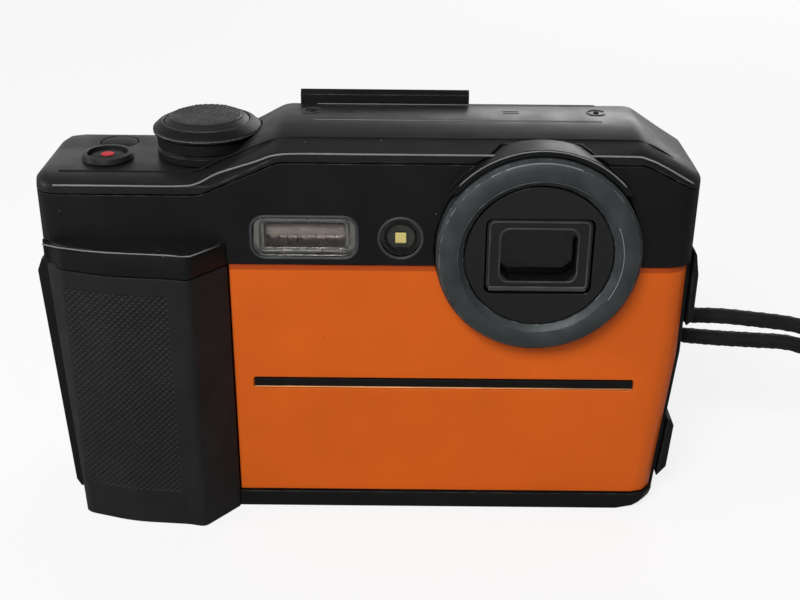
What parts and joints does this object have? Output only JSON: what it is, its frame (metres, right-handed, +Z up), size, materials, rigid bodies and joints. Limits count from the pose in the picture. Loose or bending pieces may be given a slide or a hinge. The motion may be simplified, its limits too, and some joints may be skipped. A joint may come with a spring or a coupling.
{
  "type": "rugged compact camera",
  "caption": "Rugged compact digital camera with folded optics, orange front plate, ringed flat lens window, hand grip, small rear viewfinder and wrist cord.",
  "frame": {"origin": "centre of the camera's bounding box at its base, the strap left out", "axes": "+X to the right seen from the front, -Y is the way the lens looks, +Z up"},
  "size_m": [0.213, 0.0401, 0.0755],
  "materials": {
    "black_case": "fine texture",
    "black_gloss": "gloss",
    "dark_plastic": "satin",
    "orange_plate": "anodised satin",
    "ring_metal": "worn satin",
    "clear_glass": "clear",
    "screen_glass": "dark clear",
    "reflector": "mirror",
    "led": "matt",
    "steel": "ground",
    "brass": "plated",
    "board": "solder mask",
    "battery": "satin",
    "rubber": "matt",
    "cord": "braided"
  },
  "bodies": {
    "body": {"front_case": "black_case", "rear_case": "black_case", "top_cover": "dark_plastic", "front_plate": "orange_plate", "grip": "rubber", "grip_band": "black_case", "lens_ring": "ring_metal", "lens_plate": "black_gloss", "window_frame": "black_gloss", "lens_window": "clear_glass", "lens_barrel": "dark_plastic", "prism": "clear_glass", "guide_rod_left": "steel", "guide_rod_right": "steel", "image_sensor": "board", "flash_window": "clear_glass", "flash_reflector": "reflector", "flash_tube": "clear_glass", "lamp_window": "clear_glass", "lamp_led": "led", "shutter_collar": "dark_plastic", "record_ring": "black_case", "finder_housing": "dark_plastic", "eyecup": "rubber", "eyepiece": "clear_glass", "screen_panel": "black_gloss", "screen_window": "screen_glass", "hinge_pin": "steel", "battery_bay": "dark_plastic", "battery": "battery", "card_slot": "steel", "memory_card": "battery", "main_board": "board", "flash_capacitor": "dark_plastic", "upper_strap_guard": "rubber", "lower_strap_guard": "rubber", "strap_lug": "black_case", "tripod_socket": "brass", "strap_upper": "cord", "strap_lower": "cord", "strap_joiner": "dark_plastic", "wrist_cord": "cord"},
    "shutter": {"shutter_button": "dark_plastic"},
    "record": {"record_button": "black_gloss"},
    "power": {"power_button": "black_gloss"},
    "finder_switch": {"finder_button": "black_case"},
    "tele": {"tele_button": "black_case"},
    "wide": {"wide_button": "black_case"},
    "mode": {"mode_button": "black_case"},
    "playback": {"playback_button": "black_case"},
    "display": {"display_button": "black_case"},
    "delete": {"delete_button": "black_case"},
    "set": {"set_button": "black_case"},
    "pad": {"four_way_pad": "black_case"},
    "diopter": {"diopter_dial": "dark_plastic"},
    "door": {"side_door": "black_case"},
    "lock": {"lock_switch": "dark_plastic"},
    "release": {"release_slider": "dark_plastic"},
    "zoom_lens": {"zoom_group": "dark_plastic"},
    "focus_lens": {"focus_group": "dark_plastic"}
  },
  "joints": [
    {"name": "shutter_press", "type": "slide", "parent": "body", "child": "shutter", "axis": [0, 0, -1], "range_m": [0, 0.0012], "stiffness_N_per_m": 600, "springref_m": -0.0012},
    {"name": "record_press", "type": "slide", "parent": "body", "child": "record", "axis": [0, 0, -1], "range_m": [0, 0.0005], "stiffness_N_per_m": 900, "springref_m": -0.0005},
    {"name": "power_press", "type": "slide", "parent": "body", "child": "power", "axis": [0, 0, -1], "range_m": [0, 0.0005], "stiffness_N_per_m": 900, "springref_m": -0.0005},
    {"name": "finder_switch_press", "type": "slide", "parent": "body", "child": "finder_switch", "axis": [0, -1, 0], "range_m": [0, 0.0005], "stiffness_N_per_m": 900, "springref_m": -0.0005},
    {"name": "tele_press", "type": "slide", "parent": "body", "child": "tele", "axis": [0, -1, 0], "range_m": [0, 0.0005], "stiffness_N_per_m": 900, "springref_m": -0.0005},
    {"name": "wide_press", "type": "slide", "parent": "body", "child": "wide", "axis": [0, -1, 0], "range_m": [0, 0.0005], "stiffness_N_per_m": 900, "springref_m": -0.0005},
    {"name": "mode_press", "type": "slide", "parent": "body", "child": "mode", "axis": [0, -1, 0], "range_m": [0, 0.0005], "stiffness_N_per_m": 900, "springref_m": -0.0005},
    {"name": "playback_press", "type": "slide", "parent": "body", "child": "playback", "axis": [0, -1, 0], "range_m": [0, 0.0005], "stiffness_N_per_m": 900, "springref_m": -0.0005},
    {"name": "display_press", "type": "slide", "parent": "body", "child": "display", "axis": [0, -1, 0], "range_m": [0, 0.0005], "stiffness_N_per_m": 900, "springref_m": -0.0005},
    {"name": "delete_press", "type": "slide", "parent": "body", "child": "delete", "axis": [0, -1, 0], "range_m": [0, 0.0005], "stiffness_N_per_m": 900, "springref_m": -0.0005},
    {"name": "set_press", "type": "slide", "parent": "body", "child": "set", "axis": [0, -1, 0], "range_m": [0, 0.0005], "stiffness_N_per_m": 900, "springref_m": -0.0005},
    {"name": "pad_tilt", "type": "hinge", "parent": "body", "child": "pad", "pos_m": [-0.039, 0.01365, 0.024], "axis": [1, 0, 0], "range_deg": [-2.5, 2.5], "stiffness_Nm_per_rad": 0.4},
    {"name": "diopter_turn", "type": "hinge", "parent": "body", "child": "diopter", "pos_m": [-0.0186, 0.01245, 0.063], "axis": [0, 1, 0], "range_deg": [-60, 60]},
    {"name": "door_swing", "type": "hinge", "parent": "body", "child": "door", "pos_m": [-0.0564, 0.01185, 0.026], "axis": [0, 0, -1], "range_deg": [0, 110]},
    {"name": "lock_slide", "type": "slide", "parent": "door", "child": "lock", "axis": [0, 0, 1], "range_m": [0, 0.002]},
    {"name": "release_slide", "type": "slide", "parent": "door", "child": "release", "axis": [0, 0, 1], "range_m": [0, 0.002]},
    {"name": "zoom_slide", "type": "slide", "parent": "body", "child": "zoom_lens", "axis": [0, 0, 1], "range_m": [-0.006, 0.006]},
    {"name": "focus_slide", "type": "slide", "parent": "body", "child": "focus_lens", "axis": [0, 0, 1], "range_m": [-0.003, 0.003]}
  ]
}
